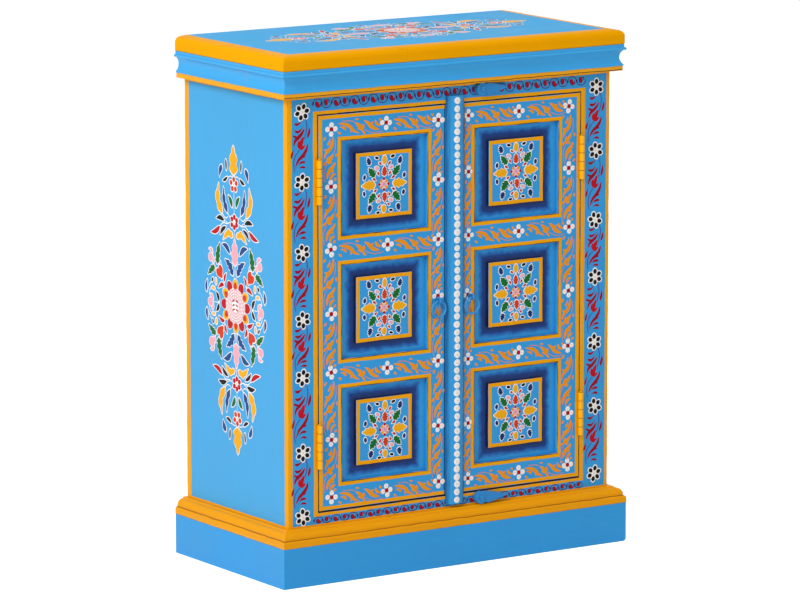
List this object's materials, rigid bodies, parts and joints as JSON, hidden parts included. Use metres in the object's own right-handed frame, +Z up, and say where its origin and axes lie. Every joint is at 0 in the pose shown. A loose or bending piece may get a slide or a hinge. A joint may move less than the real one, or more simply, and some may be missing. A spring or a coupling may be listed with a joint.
{
  "type": "painted sideboard cabinet",
  "caption": "Small painted wooden sideboard cabinet on a plinth, with panelled doors, ring pulls, a rounded centre strip, turn buttons, a moulded cornice and base.",
  "frame": {"origin": "on the floor, at the middle of the plinth footprint", "axes": "+X to the right seen from the front, +Y to the back, +Z up; the doors face -Y"},
  "size_m": [0.6, 0.3, 0.765],
  "materials": {
    "blue_painted_wood": "hand-painted sky blue gloss enamel with floral ornament, over solid wood",
    "yellow_painted_wood": "hand-painted golden yellow gloss enamel, over solid wood",
    "shaded_blue_painted_wood": "hand-painted blue enamel shaded to navy round the raised blocks",
    "plain_wood": "plain unpainted wood",
    "painted_hinge_steel": "steel hinge painted over with golden yellow enamel",
    "screw_steel": "plain zinc-plated steel",
    "blue_painted_ring_metal": "steel wire painted over with blue enamel"
  },
  "bodies": {
    "carcass": {"back_panel": "plain_wood", "base_moulding_front": "yellow_painted_wood", "base_moulding_left": "yellow_painted_wood", "base_moulding_right": "yellow_painted_wood", "bottom_board": "plain_wood", "cornice_front": "blue_painted_wood", "cornice_left": "blue_painted_wood", "cornice_right": "blue_painted_wood", "face_rail_bottom": "blue_painted_wood", "face_rail_top": "blue_painted_wood", "face_stile_left": "blue_painted_wood", "face_stile_right": "blue_painted_wood", "hinge_frame_leaves": "painted_hinge_steel", "hinge_frame_screws": "screw_steel", "hinge_pins": "painted_hinge_steel", "plinth_back": "plain_wood", "plinth_front": "blue_painted_wood", "plinth_left": "blue_painted_wood", "plinth_right": "blue_painted_wood", "shelf": "plain_wood", "shelf_cleat_left": "plain_wood", "shelf_cleat_right": "plain_wood", "side_panel_left": "blue_painted_wood", "side_panel_right": "blue_painted_wood", "top_board": "blue_painted_wood", "top_door_stop": "plain_wood", "turn_button_screws": "screw_steel", "turn_button_washers": "screw_steel"},
    "left_door": {"left_door_hinge_leaves": "painted_hinge_steel", "left_door_hinge_screws": "screw_steel", "left_door_hinge_stile": "blue_painted_wood", "left_door_meeting_stile": "blue_painted_wood", "left_door_panel_blocks": "blue_painted_wood", "left_door_panel_bottom": "shaded_blue_painted_wood", "left_door_panel_middle": "shaded_blue_painted_wood", "left_door_panel_top": "shaded_blue_painted_wood", "left_door_rail_bottom": "blue_painted_wood", "left_door_rail_lower": "blue_painted_wood", "left_door_rail_top": "blue_painted_wood", "left_door_rail_upper": "blue_painted_wood", "left_door_ring_eye": "blue_painted_ring_metal"},
    "right_door": {"centre_strip": "blue_painted_wood", "right_door_hinge_leaves": "painted_hinge_steel", "right_door_hinge_screws": "screw_steel", "right_door_hinge_stile": "blue_painted_wood", "right_door_meeting_stile": "blue_painted_wood", "right_door_panel_blocks": "blue_painted_wood", "right_door_panel_bottom": "shaded_blue_painted_wood", "right_door_panel_middle": "shaded_blue_painted_wood", "right_door_panel_top": "shaded_blue_painted_wood", "right_door_rail_bottom": "blue_painted_wood", "right_door_rail_lower": "blue_painted_wood", "right_door_rail_top": "blue_painted_wood", "right_door_rail_upper": "blue_painted_wood", "right_door_ring_eye": "blue_painted_ring_metal"},
    "left_ring_pull": {"left_ring": "blue_painted_ring_metal"},
    "right_ring_pull": {"right_ring": "blue_painted_ring_metal"},
    "top_button": {"top_turn_button": "blue_painted_wood"},
    "bottom_button": {"bottom_turn_button": "blue_painted_wood"}
  },
  "joints": [
    {"name": "left_door_hinge", "type": "hinge", "parent": "carcass", "child": "left_door", "pos_m": [-0.228, -0.1335, 0.3885], "axis": [0, 0, -1], "range_deg": [0, 110]},
    {"name": "right_door_hinge", "type": "hinge", "parent": "carcass", "child": "right_door", "pos_m": [0.228, -0.1335, 0.3885], "axis": [0, 0, 1], "range_deg": [0, 110]},
    {"name": "left_ring_swing", "type": "hinge", "parent": "left_door", "child": "left_ring_pull", "pos_m": [-0.0253, -0.1351, 0.39015], "axis": [-1, 0, 0], "range_deg": [-5, 150]},
    {"name": "right_ring_swing", "type": "hinge", "parent": "right_door", "child": "right_ring_pull", "pos_m": [0.033, -0.1351, 0.39015], "axis": [-1, 0, 0], "range_deg": [-5, 150]},
    {"name": "top_button_turn", "type": "hinge", "parent": "carcass", "child": "top_button", "pos_m": [0.0485, -0.134, 0.6941], "axis": [0, -1, 0], "range_deg": [-90, 0]},
    {"name": "bottom_button_turn", "type": "hinge", "parent": "carcass", "child": "bottom_button", "pos_m": [0.0485, -0.134, 0.0924], "axis": [0, 1, 0], "range_deg": [-90, 0]}
  ]
}
